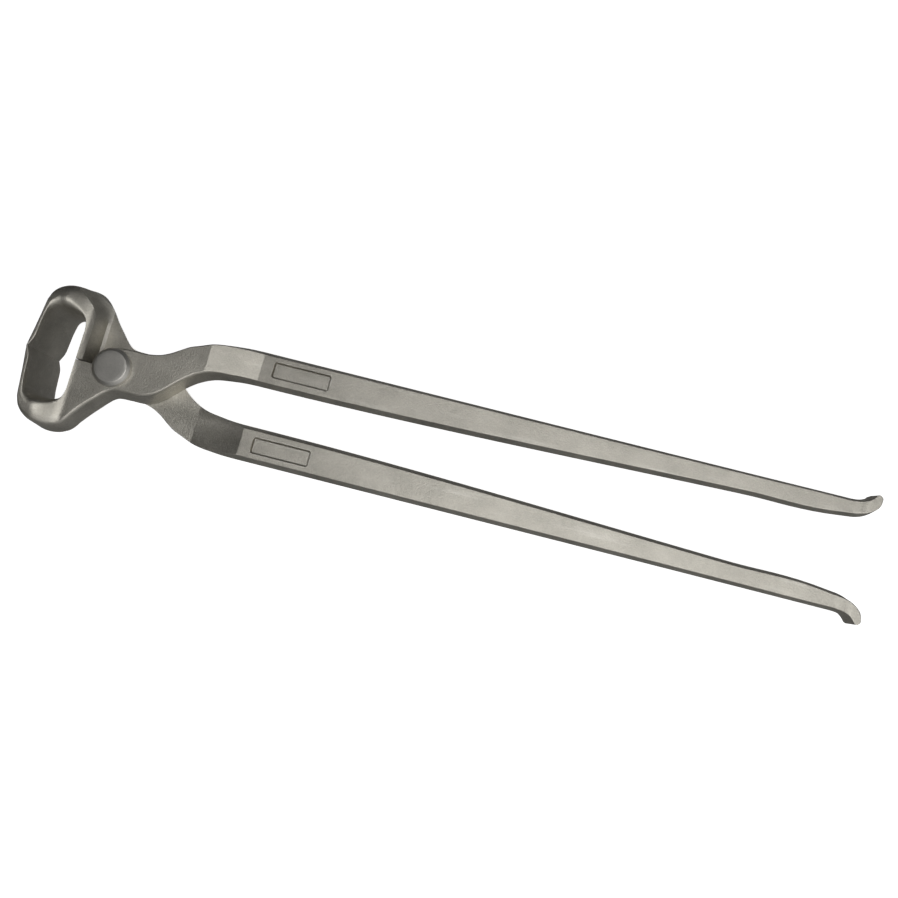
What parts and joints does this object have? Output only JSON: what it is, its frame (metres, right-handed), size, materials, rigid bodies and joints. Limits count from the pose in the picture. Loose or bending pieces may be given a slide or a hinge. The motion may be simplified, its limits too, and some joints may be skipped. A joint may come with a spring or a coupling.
{
  "type": "end-cutting tongs",
  "caption": "Long-handled forged steel tongs with wide end-cutting jaws, crossed arms on one rivet and outward-curled rein ends.",
  "frame": {"origin": "under the middle of the whole tool, on the surface that the jaw rims rest on, with the jaws closed", "axes": "+X from the cutting edges to the rein ends, +Z along the rivet axis towards its bevelled head, +Y to the side of the front arm's rein"},
  "size_m": [0.381, 0.0668, 0.032],
  "materials": {
    "forged_steel": "bare drop-forged steel, blasted to a fine even satin, with small grinding and handling marks",
    "rivet_steel": "bare steel rivet head, turned smooth, slightly darker than the arms"
  },
  "bodies": {
    "front": {"front_arm": "forged_steel", "rivet": "rivet_steel"},
    "rear": {"rear_arm": "forged_steel"}
  },
  "joints": [
    {"name": "pivot", "type": "hinge", "parent": "front", "child": "rear", "pos_m": [-0.154, 0, 0.016], "axis": [0, 0, -1], "range_deg": [0, 78]}
  ]
}
